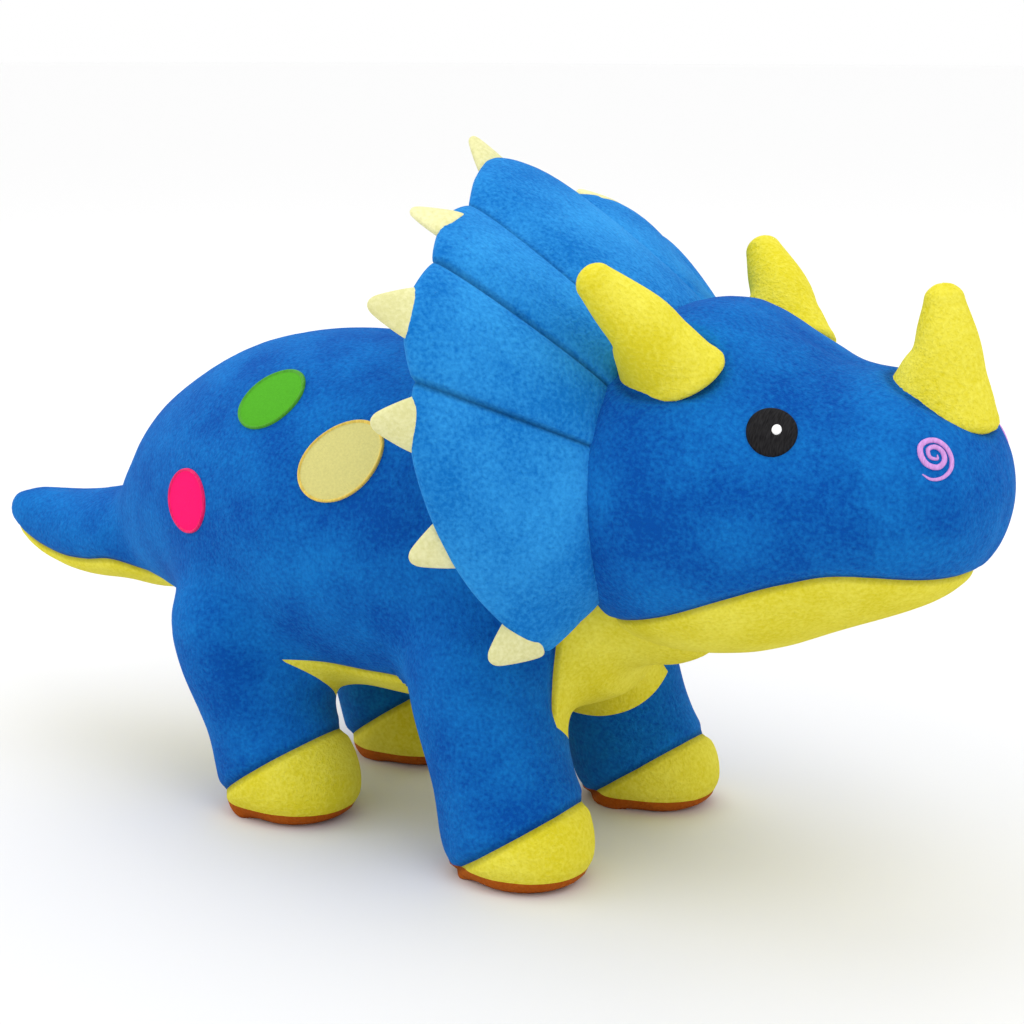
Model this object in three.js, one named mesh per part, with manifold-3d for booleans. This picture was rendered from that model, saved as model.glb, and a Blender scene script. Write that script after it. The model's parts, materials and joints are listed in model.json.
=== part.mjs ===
// A stuffed three-horned dinosaur: fabric covers sewn over fibre stuffing, with a quilted
// neck frill. Millimetres, +Z up, +X towards the nose, +Y towards the toy's left side, and
// the origin under the middle of the toy on the surface that it stands on.
import * as THREE from "three";
import { ConvexGeometry } from "three/addons/geometries/ConvexGeometry.js";
import { mergeVertices } from "three/addons/utils/BufferGeometryUtils.js";
import Module from "manifold-3d";

const wasm = await Module();
wasm.setup();

// Driving dimensions.
const CLOTH = 2.5; // thickness of the plush cloth with its pile
const GAP = 0.3; // left between pieces that touch
const RUNNING = 2; // left around a piece that bends at a seam
const LENGTH = 580; // nose to tail tip
const SOLE_HEIGHT = 7;
const FLATTENED = 1.4; // how much of each foot's round underside is pressed flat
const FELT = 1.2; // thickness of an appliqued spot or an embroidered patch
const BODY_SECTORS = 16; // flat facets round the body and the head
const LIMB_SECTORS = 12; // flat facets round a leg, the tail or a horn
const SPIKE = { width: 25, length: 23, thickness: 8, sunk: 6 }; // sunk into the rim seam
// Each toe cap's seam rises from the sole at the heel's x to the toe's x, from the foot's middle.
const TOE_CAPS = { fore: { heel: -18, toe: 60, rise: 54 }, hind: { heel: -33, toe: 60, rise: 63 } };
const GLINT_HOLE = 3.5; // radius of the opening in the eye that the highlight shows through

// The soft joints: where the stuffed parts bend, and how far each way, in degrees.
const NECK = { at: [105, 0, 163], radius: 50, opening: 30, nod: [-10, 6], turn: [-10, 10] };
const TAIL_ROOT = { at: [-166, 0, 118], radius: 33, wag: [-25, 25] };
const FORE_HIP = { at: [62, 52, 92], radius: 36, swing: [-12, 12] };
const HIND_HIP = { at: [-78, 50, 92], radius: 39, swing: [-12, 12] };

const COLOURS = {
  blue: 0x0f5cb8, yellow: 0xe8dc3c, cream: 0xefe3a0, brown: 0x9a4a1c, green: 0x57b030,
  pink: 0xf81f78, straw: 0xe6d98a, black: 0x101014, white: 0xf8f8f8, mauve: 0xc889c8,
  fibre: 0xf2f1ec,
};

const X = new THREE.Vector3(1, 0, 0);
const Y = new THREE.Vector3(0, 1, 0);
const Z = new THREE.Vector3(0, 0, 1);
const vec = (p) => new THREE.Vector3(...p);
const mirrored = ([x, y, z]) => [x, -y, z];

// ---- Solids ----------------------------------------------------------------

// A copy of a geometry that has only positions, with each point held once.
function welded(geometry) {
  const bare = geometry.clone();
  bare.deleteAttribute("normal");
  bare.deleteAttribute("uv");
  return mergeVertices(bare, 1e-4);
}

// A geometry as a manifold-3d solid, for joining and cutting.
function solid(geometry) {
  const merged = welded(geometry);
  return new wasm.Manifold(
    new wasm.Mesh({
      numProp: 3,
      vertProperties: merged.attributes.position.array,
      triVerts: new Uint32Array(merged.index.array),
    }),
  );
}

function geometryOf(made) {
  const { numProp, vertProperties, triVerts } = made.getMesh();
  const points = new Float32Array((vertProperties.length / numProp) * 3);
  for (let i = 0; i * 3 < points.length; i++)
    points.set(vertProperties.subarray(i * numProp, i * numProp + 3), i * 3);
  return new THREE.BufferGeometry()
    .setAttribute("position", new THREE.BufferAttribute(points, 3))
    .setIndex(new THREE.BufferAttribute(new Uint32Array(triVerts), 1));
}

const joined = (solids) => solids.reduce((a, b) => a.add(b));
const cutBy = (made, cutters) => cutters.reduce((a, b) => a.subtract(b), made);
const largest = (made) =>
  made.decompose().sort((a, b) => b.volume() - a.volume())[0];

// The copies of a solid that stand at each of several angles about an axis through a point.
function turned(geometry, at, axis, degrees) {
  return degrees.map((angle) => {
    const copy = geometry.clone().translate(...at.map((v) => -v));
    copy.applyMatrix4(
      new THREE.Matrix4().makeRotationAxis(axis, THREE.MathUtils.degToRad(angle)),
    );
    return copy.translate(...at);
  });
}

function box([x0, y0, z0], [x1, y1, z1]) {
  return new THREE.BoxGeometry(x1 - x0, y1 - y0, z1 - z0).translate(
    (x0 + x1) / 2, (y0 + y1) / 2, (z0 + z1) / 2,
  );
}

const ball = (at, radius) =>
  new THREE.SphereGeometry(radius, 16, 10).translate(...at);

// ---- Soft forms ------------------------------------------------------------

// A closed stuffed form. Each section is [spine point, side, front and back radius]: the front
// radius points along `facing`, or along the section's own fifth entry, and the form closes to
// a point at both ends.
function softForm(sections, facing, sectors, acrossFor = (across) => across) {
  const spine = new THREE.CatmullRomCurve3(sections.map((s) => vec(s[0])));
  const radii = new THREE.CatmullRomCurve3(
    sections.map(([, side, front, back]) => new THREE.Vector3(side, front, back)),
  );
  const directions = new THREE.CatmullRomCurve3(
    sections.map((s) => (s[4] ? vec(s[4]) : facing.clone())),
  );
  const closed = welded(new THREE.SphereGeometry(1, sectors, sections.length - 1));
  const { position } = closed.attributes;
  const point = new THREE.Vector3();
  for (let i = 0; i < position.count; i++) {
    point.fromBufferAttribute(position, i);
    const t = Math.acos(THREE.MathUtils.clamp(point.y, -1, 1)) / Math.PI;
    const angle = Math.atan2(point.z, point.x);
    const along = spine.getTangent(t);
    const side = along.clone().cross(directions.getPoint(t)).normalize();
    const front = side.clone().cross(along).normalize();
    const radius = radii.getPoint(t);
    const atPole = Math.abs(point.y) > 1 - 1e-9;
    const across = atPole ? 0 : acrossFor(radius.x * Math.cos(angle));
    const ahead = atPole
      ? 0
      : Math.sin(angle) * (Math.sin(angle) > 0 ? radius.y : radius.z);
    point.copy(spine.getPoint(t)).addScaledVector(side, across);
    point.addScaledVector(front, ahead);
    position.setXYZ(i, point.x, point.y, point.z);
  }
  return facingOut(closed);
}

// Turns every face round if the geometry encloses a negative volume.
function facingOut(geometry) {
  const { index, attributes } = geometry;
  const [a, b, c] = [0, 1, 2].map(() => new THREE.Vector3());
  let volume = 0;
  for (let i = 0; i < index.count; i += 3) {
    a.fromBufferAttribute(attributes.position, index.getX(i));
    b.fromBufferAttribute(attributes.position, index.getX(i + 1));
    c.fromBufferAttribute(attributes.position, index.getX(i + 2));
    volume += a.dot(b.cross(c));
  }
  if (volume < 0)
    for (let i = 0; i < index.count; i += 3) {
      const kept = index.getX(i + 1);
      index.setX(i + 1, index.getX(i + 2));
      index.setX(i + 2, kept);
    }
  return geometry;
}

// The same form with its surface moved outwards, or inwards by a negative distance.
function grown(form, distance) {
  const copy = form.clone();
  copy.computeVertexNormals();
  const { position, normal } = copy.attributes;
  for (let i = 0; i < position.count; i++)
    position.setXYZ(
      i,
      position.getX(i) + normal.getX(i) * distance,
      position.getY(i) + normal.getY(i) * distance,
      position.getZ(i) + normal.getZ(i) * distance,
    );
  return copy;
}

const coverOf = (form) => solid(form).subtract(solid(grown(form, -CLOTH)));
const stuffingOf = (form) => solid(grown(form, -CLOTH - GAP));

// A prism with a side-view outline in X and Z that reaches past both flanks.
function sidePrism(outline) {
  const shape = new THREE.Shape(outline.map(([x, z]) => new THREE.Vector2(x, z)));
  return new THREE.ExtrudeGeometry(shape, { depth: LENGTH, bevelEnabled: false })
    .translate(0, 0, -LENGTH / 2)
    .rotateX(Math.PI / 2);
}

// ---- The stuffed forms -----------------------------------------------------

const torsoForm = softForm(
  [
    [[-190, 0, 123], 0, 0, 0],
    [[-184, 0, 125], 26, 24, 26],
    [[-162, 0, 131], 43, 43, 46],
    [[-128, 0, 141], 62, 64, 68],
    [[-88, 0, 147], 78, 80, 83],
    [[-45, 0, 149], 87, 86, 90],
    [[-5, 0, 148], 86, 84, 91],
    [[35, 0, 147], 81, 79, 91],
    [[70, 0, 142], 72, 72, 85],
    [[96, 0, 134], 60, 60, 73],
    [[113, 0, 130], 49, 46, 62],
    [[124, 0, 128], 33, 28, 46],
    [[130, 0, 126], 0, 0, 0],
  ],
  Z,
  BODY_SECTORS,
);

const headForm = softForm(
  [
    [[112, 0, 184], 0, 0, 0],
    [[116, 0, 184], 58, 52, 52],
    [[129, 0, 183], 80, 73, 73],
    [[150, 0, 182], 86, 81, 78],
    [[172, 0, 182], 83, 79, 76],
    [[196, 0, 183], 75, 66, 70],
    [[220, 0, 184], 64, 54, 60],
    [[244, 0, 186], 56, 52, 51],
    [[264, 0, 189], 47, 45, 41],
    [[280, 0, 191], 31, 28, 26],
    [[290, 0, 192], 0, 0, 0],
  ],
  Z,
  BODY_SECTORS,
);

const tailForm = softForm(
  [
    [[-133, 0, 118], 0, 0, 0],
    [[-143, 0, 118], 23, 24, 23],
    [[-166, 0, 118], 32, 32, 32],
    [[-196, 0, 114], 31, 27, 27],
    [[-222, 0, 111], 27, 24, 25],
    [[-246, 0, 111], 22, 21, 22],
    [[-266, 0, 114], 17, 17, 18],
    [[-282, 0, 119], 11, 11, 11],
    [[-290, 0, 123], 0, 0, 0],
  ],
  Z,
  LIMB_SECTORS,
);

// A leg from the dome in its hip down to its foot. The underside lies a little below the
// ground, where the sole is cut flat.
function legForm(hip, foot, dome, ankle) {
  const [x, y, z] = hip;
  const down = (share) => hip.map((v, i) => v + (foot[i] - v) * share);
  const over = (height) => [foot[0], foot[1], height];
  return softForm(
    [
      [[x, y, z + dome], 0, 0, 0],
      [[x, y, z + 0.8 * dome], 0.6 * dome, 0.6 * dome, 0.6 * dome],
      [[x, y, z + 0.3 * dome], 0.95 * dome, 0.95 * dome, 0.95 * dome],
      [down(0.12), dome - 1, dome - 1, dome - 1],
      [down(0.5), ankle, ankle + 1, ankle + 1],
      [down(0.77), ankle, ankle + 6, ankle + 2],
      [over(15), ankle - 1, ankle + 4, ankle + 1],
      [over(6), 0.88 * ankle, 0.98 * ankle, 0.9 * ankle],
      [over(0), 0.68 * ankle, 0.74 * ankle, 0.68 * ankle],
      [over(-FLATTENED), 0, 0, 0],
    ],
    X,
    LIMB_SECTORS,
  );
}

const FORE_FOOT = [90, 61, 0];
const HIND_FOOT = [-50, 52, 0];
const foreForm = legForm(FORE_HIP.at, FORE_FOOT, FORE_HIP.radius, 32);
const hindForm = legForm(HIND_HIP.at, HIND_FOOT, HIND_HIP.radius, 32);
const mirror = (form) => facingOut(form.clone().scale(1, -1, 1));

// A horn: a bent cone with a round tip, standing on a ball that bends in its socket.
function hornForm(base, bend, tip, radius, tipRadius) {
  const partway = (a, b, share) => a.map((v, i) => v + (b[i] - v) * share);
  const inwards = vec(base).addScaledVector(vec(bend).sub(vec(base)).normalize(), -0.7 * radius);
  const end = vec(tip).addScaledVector(vec(tip).sub(vec(bend)).normalize(), tipRadius);
  const size = (r) => [r, r, r];
  return softForm(
    [
      [inwards.toArray(), 0, 0, 0],
      [partway(base, inwards.toArray(), 0.5), ...size(0.82 * radius)],
      [base, ...size(radius)],
      [partway(base, bend, 0.55), ...size(0.84 * radius)],
      [bend, ...size(0.62 * radius + 0.3 * tipRadius)],
      [tip, ...size(tipRadius)],
      [end.toArray(), 0, 0, 0],
    ],
    X,
    LIMB_SECTORS,
  );
}

const BROW = { base: [156, 55, 240], bend: [150, 67, 259], tip: [137, 77, 276], r: 22, tipR: 7 };
const NOSE = { base: [256, 0, 228], bend: [262, 0, 248], tip: [259, 0, 269], r: 20, tipR: 7 };
const browForm = hornForm(BROW.base, BROW.bend, BROW.tip, BROW.r, BROW.tipR);
const noseForm = hornForm(NOSE.base, NOSE.bend, NOSE.tip, NOSE.r, NOSE.tipR);

// The frill is a funnel that sweeps back from the head's rear seam. Each row gives its root and
// its rim on the left half, from the crown down to the cheek. Rows on a quilting seam are thin.
const FRILL_SECTORS = 10;
const FRILL_ROWS = [
  { root: [124, 0, 256], rim: [34, 0, 316], thick: 12 },
  { root: [125, 21, 254], rim: [40, 21, 311], thick: 9 },
  { root: [126, 38, 248], rim: [46, 39, 300], thick: 5 },
  { root: [126, 52, 240], rim: [54, 67, 295], thick: 10 },
  { root: [127, 62, 231], rim: [64, 92, 281], thick: 5 },
  { root: [127, 72, 220], rim: [68, 115, 262], thick: 10 },
  { root: [128, 79, 208], rim: [75, 123, 235], thick: 5 },
  { root: [128, 83, 190], rim: [77, 124, 205], thick: 10 },
  { root: [128, 82, 170], rim: [82, 116, 175], thick: 11 },
  { root: [127, 76, 150], rim: [92, 104, 146], thick: 10 },
  { root: [125, 67, 134], rim: [108, 90, 122], thick: 6 },
];
function frillSections(halfThickness = (row) => row.thick) {
  const section = ({ root, rim, thick }, mirror) => {
    const [a, b] = mirror ? [mirrored(root), mirrored(rim)] : [root, rim];
    const out = vec(b).sub(vec(a));
    const reach = out.length() / 2;
    const middle = vec(a).addScaledVector(out, 0.5).toArray();
    return [middle, halfThickness({ thick }), reach, reach, out.normalize().toArray()];
  };
  const left = FRILL_ROWS.map((row) => section(row, false));
  const right = FRILL_ROWS.slice(1).map((row) => section(row, true));
  const tip = (at) => [at, 0, 0, 0, [-0.6, Math.sign(at[1]) * 0.7, -0.3]];
  const end = [118, 75, 119];
  return [tip(end), ...left.reverse(), ...right, tip(mirrored(end))];
}
const frillForm = softForm(frillSections(), Z, FRILL_SECTORS);

// ---- Room for the bends ----------------------------------------------------

// The convex space that a form needs as it turns about its joint.
const between = ([low, high]) => [low, low / 2, 0, high / 2, high];
function around(geometries) {
  const points = geometries.flatMap((geometry) => {
    const { position } = geometry.attributes;
    return Array.from({ length: position.count }, (_, i) =>
      new THREE.Vector3().fromBufferAttribute(position, i),
    );
  });
  return solid(new ConvexGeometry(points));
}
const roomFor = (form, at, axis, range) =>
  around(turned(grown(form, RUNNING), at, axis, between(range)));
const headRoom = around(
  turned(grown(headForm, RUNNING), NECK.at, Z, between(NECK.turn)).flatMap((form) =>
    turned(form, NECK.at, Y, between(NECK.nod)),
  ),
);
const legRoom = [
  roomFor(foreForm, FORE_HIP.at, Y, FORE_HIP.swing),
  roomFor(mirror(foreForm), mirrored(FORE_HIP.at), Y, FORE_HIP.swing),
  roomFor(hindForm, HIND_HIP.at, Y, HIND_HIP.swing),
  roomFor(mirror(hindForm), mirrored(HIND_HIP.at), Y, HIND_HIP.swing),
];
const tailRoom = roomFor(tailForm, TAIL_ROOT.at, Z, TAIL_ROOT.wag);
const neckRoom = solid(ball(NECK.at, NECK.radius + RUNNING));
const torsoRoom = joined([headRoom, ...legRoom, tailRoom, neckRoom]);

// ---- The sewn pieces -------------------------------------------------------

const toy = new THREE.Group();

function piece(name, made, colour) {
  const mesh = new THREE.Mesh(
    geometryOf(largest(made)),
    new THREE.MeshStandardMaterial({ color: COLOURS[colour], roughness: 0.95, metalness: 0 }),
  );
  mesh.name = name;
  toy.add(mesh);
}

const leftHalf = solid(box([-LENGTH, GAP / 2, -LENGTH], [LENGTH, LENGTH, LENGTH]));
const rightHalf = solid(box([-LENGTH, -LENGTH, -LENGTH], [LENGTH, -GAP / 2, LENGTH]));

function addTorso() {
  const bellyLine = [
    [-200, 104], [-130, 88], [-60, 85], [-29, 81], [0, 79], [50, 84], [90, 106], [140, 150],
  ];
  const below = solid(sidePrism([...bellyLine, [140, -20], [-210, -20]]));
  const above = solid(
    sidePrism([...bellyLine.map(([x, z]) => [x, z + GAP]), [140, 300], [-210, 300]].reverse()),
  );
  const cover = coverOf(torsoForm).subtract(torsoRoom);
  piece("belly_panel", cover.intersect(below), "yellow");
  piece("left_side_panel", cover.intersect(above).intersect(leftHalf), "blue");
  piece("right_side_panel", cover.intersect(above).intersect(rightHalf), "blue");
  piece("torso_stuffing", stuffingOf(torsoForm).subtract(torsoRoom), "fibre");
}

function addNeck() {
  const sleeve = solid(ball(NECK.at, NECK.radius))
    .subtract(solid(ball(NECK.at, NECK.radius - CLOTH)))
    .subtract(
      solid(new THREE.CylinderGeometry(NECK.opening, NECK.opening, 4 * NECK.radius, 16)
        .rotateZ(Math.PI / 2).translate(...NECK.at)),
    );
  piece("neck_sleeve", sleeve, "blue");
  piece("neck_stuffing", solid(ball(NECK.at, NECK.radius - CLOTH - GAP)), "fibre");
}

function addTail() {
  const underLine = [[-300, 118], [-270, 104], [-240, 98], [-215, 99], [-195, 104], [-120, 104]];
  const below = solid(sidePrism([...underLine, [-120, 0], [-300, 0]].reverse()));
  const above = solid(
    sidePrism([...underLine.map(([x, z]) => [x, z + GAP]), [-120, 300], [-300, 300]]),
  );
  const cover = coverOf(tailForm);
  piece("tail_cover", cover.intersect(above), "blue");
  piece("tail_under_panel", cover.intersect(below), "yellow");
  piece("tail_stuffing", stuffingOf(tailForm), "fibre");
}

// The yellow toe cap rises from the heel towards the toe.
function addLeg(name, form, foot, cap) {
  const sole = solid(box([-LENGTH, -LENGTH, 0], [LENGTH, LENGTH, SOLE_HEIGHT]));
  const upper = solid(
    box([-LENGTH, -LENGTH, SOLE_HEIGHT + GAP], [LENGTH, LENGTH, LENGTH]),
  );
  const slope = (offset) =>
    sidePrism([
      [foot[0] + cap.heel, SOLE_HEIGHT + offset],
      [foot[0] + cap.toe, SOLE_HEIGHT + cap.rise + offset],
      [foot[0] + cap.toe, -LENGTH],
      [foot[0] + cap.heel, -LENGTH],
    ].reverse());
  const cover = coverOf(form);
  piece(`${name}_sole`, cover.intersect(sole), "brown");
  piece(`${name}_toe_cap`, cover.intersect(upper).intersect(solid(slope(0))), "yellow");
  piece(`${name}_cover`, cover.intersect(upper).subtract(solid(slope(GAP))), "blue");
  piece(`${name}_stuffing`, stuffingOf(form), "fibre");
}

const browBall = (at) => solid(ball(at, BROW.r + RUNNING));
const hornRoom = [
  ...[BROW.base, mirrored(BROW.base)].map(browBall),
  solid(ball(NOSE.base, NOSE.r + RUNNING)),
  ...[browForm, mirror(browForm), noseForm].map((form) => solid(grown(form, RUNNING))),
];

function addHead() {
  const lipLine = [
    [100, 120], [130, 123], [160, 131], [190, 143], [215, 152], [243, 157], [300, 150],
  ];
  const below = solid(sidePrism([...lipLine, [300, 40], [100, 40]]));
  const above = solid(
    sidePrism([...lipLine.map(([x, z]) => [x, z + GAP]), [300, 320], [100, 320]].reverse()),
  );
  const room = [...hornRoom, neckRoom, solid(grown(frillForm, GAP))];
  const cover = cutBy(coverOf(headForm), room);
  piece("chin_panel", cover.intersect(below), "yellow");
  piece("head_left_panel", cover.intersect(above).intersect(leftHalf), "blue");
  piece("head_right_panel", cover.intersect(above).intersect(rightHalf), "blue");
  piece("head_stuffing", cutBy(stuffingOf(headForm), room), "fibre");
}

// A patch of felt or thread on a form's side, cut by an oval prism that runs along Y.
function patch(form, { at, size, tilt }, side) {
  const oval = new THREE.CylinderGeometry(1, 1, LENGTH / 2, 18)
    .scale(size[0] / 2, 1, size[1] / 2)
    .rotateY(THREE.MathUtils.degToRad(tilt))
    .translate(at[0], (side * LENGTH) / 4, at[1]);
  return solid(grown(form, GAP + FELT))
    .subtract(solid(grown(form, GAP)))
    .intersect(solid(oval));
}

const SPOTS = {
  green: { at: [-50, 207], size: [36, 24], tilt: -18 },
  straw: { at: [1, 185], size: [43, 33], tilt: -30 },
  pink: { at: [-92, 156], size: [32, 31], tilt: -20 },
};
const EYE = { at: [207.5, 216.5], size: [16, 18], tilt: 0 };
const GLINT = { at: [209, 217], size: [5, 6], tilt: 0 };
const NOSTRIL = { at: [270, 208], size: [8, 13], tilt: 0 };

function addPatches(sideName, side) {
  for (const [colour, spot] of Object.entries(SPOTS))
    piece(`${sideName}_spot_${colour}`, patch(torsoForm, spot, side), colour);
  const hole = solid(
    new THREE.CylinderGeometry(GLINT_HOLE, GLINT_HOLE, LENGTH / 2, 12)
      .translate(GLINT.at[0], (side * LENGTH) / 4, GLINT.at[1]),
  );
  piece(`${sideName}_eye`, patch(headForm, EYE, side).subtract(hole), "black");
  piece(`${sideName}_eye_glint`, patch(headForm, GLINT, side), "white");
  piece(`${sideName}_nostril`, patch(headForm, NOSTRIL, side), "mauve");
}

function addHorns() {
  piece("left_brow_horn", solid(browForm), "yellow");
  piece("right_brow_horn", solid(mirror(browForm)), "yellow");
  piece("nose_horn", solid(noseForm), "yellow");
}

// A block behind the seam line in the middle of the frill's thickness, or the given distance
// off it. It reaches past the frill's root, rim and ends.
function behindFrillSeam(offset) {
  const past = 8;
  const block = frillSections((row) => row.thick + past).map(([at, side, front, back, out]) =>
    side ? [at, side, front + past, back + past, out] : [at, 0, 0, 0, out],
  );
  const [end, next] = [block[0], block[1]].map(([at]) => vec(at));
  const beyond = end.clone().addScaledVector(end.clone().sub(next).normalize(), past).toArray();
  block[0][0] = beyond;
  block[block.length - 1][0] = mirrored(beyond);
  return solid(softForm(block, Z, FRILL_SECTORS, (across) => Math.max(across, offset)));
}

function addFrill() {
  const cover = coverOf(frillForm);
  piece("frill_front", cover.subtract(behindFrillSeam(-GAP / 2)), "blue");
  piece("frill_back", cover.intersect(behindFrillSeam(GAP / 2)), "blue");
  piece("frill_wadding", stuffingOf(frillForm), "fibre");
}

// Felt spikes stand in the frill's rim seam and point away from its root, leaning up or down.
// Each is [frill row, lean].
const SPIKE_ROWS = [[0, 0.35], [3, -0.35], [5, -0.3], [6.6, -0.2], [8.35, -0.45], [10, -0.2]];

function addSpikes() {
  const rootLine = new THREE.CatmullRomCurve3(FRILL_ROWS.map((row) => vec(row.root)));
  const rimLine = new THREE.CatmullRomCurve3(FRILL_ROWS.map((row) => vec(row.rim)));
  const rimRoom = solid(grown(frillForm, GAP));
  SPIKE_ROWS.forEach(([row, lean], number) => {
    const t = row / (FRILL_ROWS.length - 1);
    const rim = rimLine.getPoint(t);
    const out = rim.clone().sub(rootLine.getPoint(t)).normalize()
      .addScaledVector(Z, lean).normalize();
    const along = number ? rimLine.getTangent(t) : Y.clone();
    const face = out.clone().cross(along).normalize();
    const across = out.clone().cross(face);
    const place = new THREE.Matrix4().makeBasis(across, out, face)
      .setPosition(rim.clone().addScaledVector(out, SPIKE.length / 2 - SPIKE.sunk));
    const cone = new THREE.ConeGeometry(SPIKE.width / 2, SPIKE.length, 10)
      .scale(1, 1, SPIKE.thickness / SPIKE.width)
      .applyMatrix4(place);
    const left = solid(cone).subtract(rimRoom);
    if (!number) piece("frill_spike_crown", left, "cream");
    else {
      piece(`left_frill_spike_${number}`, left, "cream");
      piece(`right_frill_spike_${number}`, solid(mirror(welded(cone)))
        .subtract(rimRoom), "cream");
    }
  });
}

addTorso();
addNeck();
addTail();
addLeg("left_fore_leg", foreForm, FORE_FOOT, TOE_CAPS.fore);
addLeg("right_fore_leg", mirror(foreForm), FORE_FOOT, TOE_CAPS.fore);
addLeg("left_hind_leg", hindForm, HIND_FOOT, TOE_CAPS.hind);
addLeg("right_hind_leg", mirror(hindForm), HIND_FOOT, TOE_CAPS.hind);
addHead();
addHorns();
addFrill();
addSpikes();
addPatches("left", 1);
addPatches("right", -1);

export default toy;
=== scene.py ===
"""Sews the soft looks of a stuffed three-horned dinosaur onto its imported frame.

Metres, +Z up, +X towards the nose, +Y towards the toy's left side. The tables of forms are in
millimetres, because they repeat the stuffed solids of the frame's own design.
"""

import json
import math

import bmesh
import bpy
import numpy as np
from bpy.props import FloatProperty, FloatVectorProperty, IntProperty, PointerProperty
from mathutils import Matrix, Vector
from mathutils.bvhtree import BVHTree


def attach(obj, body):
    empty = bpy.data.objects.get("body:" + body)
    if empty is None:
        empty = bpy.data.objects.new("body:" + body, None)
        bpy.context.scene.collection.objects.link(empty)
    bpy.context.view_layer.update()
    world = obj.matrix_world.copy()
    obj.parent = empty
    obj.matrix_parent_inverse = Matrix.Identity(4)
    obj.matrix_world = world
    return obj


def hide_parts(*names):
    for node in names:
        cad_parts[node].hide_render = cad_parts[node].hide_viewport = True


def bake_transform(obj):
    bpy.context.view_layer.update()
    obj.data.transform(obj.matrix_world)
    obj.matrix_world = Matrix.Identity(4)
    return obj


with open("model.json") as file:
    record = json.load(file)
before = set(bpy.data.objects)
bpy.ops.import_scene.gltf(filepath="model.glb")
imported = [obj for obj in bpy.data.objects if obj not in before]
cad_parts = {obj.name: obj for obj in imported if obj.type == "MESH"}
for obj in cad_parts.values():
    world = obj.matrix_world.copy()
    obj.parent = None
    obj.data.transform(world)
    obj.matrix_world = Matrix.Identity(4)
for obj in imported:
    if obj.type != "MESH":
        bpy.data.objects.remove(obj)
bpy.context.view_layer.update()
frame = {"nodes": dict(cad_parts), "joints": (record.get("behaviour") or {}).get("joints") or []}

bl_info = {
    "name": "Stuffed Dinosaur",
    "version": (1, 0, 0),
    "blender": (4, 5, 0),
    "location": "View3D > Sidebar > Dinosaur",
    "description": "Sews a stuffed three-horned dinosaur around its packed frame",
    "category": "Add Mesh",
}

MM = 0.001
JOINTS = {joint["name"]: joint for joint in frame["joints"]}
SIDES = {"left": 1, "right": -1}

# ---- The stuffed forms, in millimetres ----

# Each section is (x, z of the spine, side radius, radius above, radius below).
TORSO = [
    (-190, 123, 0, 0, 0), (-184, 125, 26, 24, 26), (-162, 131, 43, 43, 46),
    (-128, 141, 62, 64, 68), (-88, 147, 78, 80, 83), (-45, 149, 87, 86, 90),
    (-5, 148, 86, 84, 91), (35, 147, 81, 79, 91), (70, 142, 72, 72, 85),
    (96, 134, 60, 60, 73), (113, 130, 49, 46, 62), (124, 128, 33, 28, 46),
    (130, 126, 0, 0, 0),
]
NECK = [
    (62, 150, 0, 0, 0), (66, 150, 40, 40, 40), (84, 156, 50, 50, 60),
    (106, 163, 50, 50, 76), (124, 170, 50, 50, 76), (138, 174, 44, 44, 70), (147, 176, 0, 0, 0),
]
TAIL = [
    (-133, 118, 0, 0, 0), (-143, 118, 23, 24, 23), (-166, 118, 32, 32, 32),
    (-196, 114, 31, 27, 27), (-222, 111, 27, 24, 25), (-246, 111, 22, 21, 22),
    (-266, 114, 17, 17, 18), (-282, 119, 11, 11, 11), (-290, 123, 0, 0, 0),
]
HEAD = [
    (112, 184, 0, 0, 0), (116, 184, 58, 52, 52), (129, 183, 80, 73, 73),
    (150, 182, 86, 81, 78), (172, 182, 83, 79, 76), (196, 183, 75, 66, 70),
    (220, 184, 64, 54, 60), (244, 186, 56, 52, 51), (264, 189, 47, 45, 41),
    (280, 191, 31, 28, 26), (290, 192, 0, 0, 0),
]
DOMES = {"fore": 36, "hind": 39}
FLATTER_FRONT = {"fore": 0, "hind": 5}  # how much less the thigh bulges ahead than behind
ANKLE = 32
PRESSED = 1.4  # how far each foot's round underside is pressed flat
FEET = {"fore": (90, 61), "hind": (-50, 52)}

# Sewing lines seen from the side, as (x, z) in millimetres.
UNDER_LINE = [
    (-300, 118), (-270, 104), (-240, 98), (-215, 99), (-190, 103), (-160, 98),
    (-130, 88), (-60, 85), (-29, 81), (0, 79), (50, 84), (90, 106), (140, 150),
]
LIP_LINE = [
    (100, 120), (130, 123), (160, 131), (190, 143), (215, 152), (243, 157), (300, 150),
]
# Half the width of the belly panel, as (x, half width) in millimetres.
BELLY_WIDTH = [
    (-300, 120), (-6, 120), (6, 45), (14, 40), (70, 41), (92, 45), (99, 48),
    (112, 62), (140, 90),
]
SOLE_HEIGHT = 7
# A toe cap's seam rises from the sole at the heel's x to the toe's x, from the foot's middle.
TOE_CAPS = {
    "fore": {"heel": -18, "toe": 60, "rise": 54},
    "hind": {"heel": -33, "toe": 60, "rise": 63},
}

# Where the tail, the neck and the legs bend from the body, in metres along the direction of each
# bend; the skin is parted into panels at some of these places.
TAIL_BEND = (-0.150, -0.190)
NECK_BEND = (0.098, 0.114, 0.130)
LEG_SLANT = Vector((0, 0.578, -0.817)).normalized()
LEG_BEND = (-0.0275, -0.002)

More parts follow.
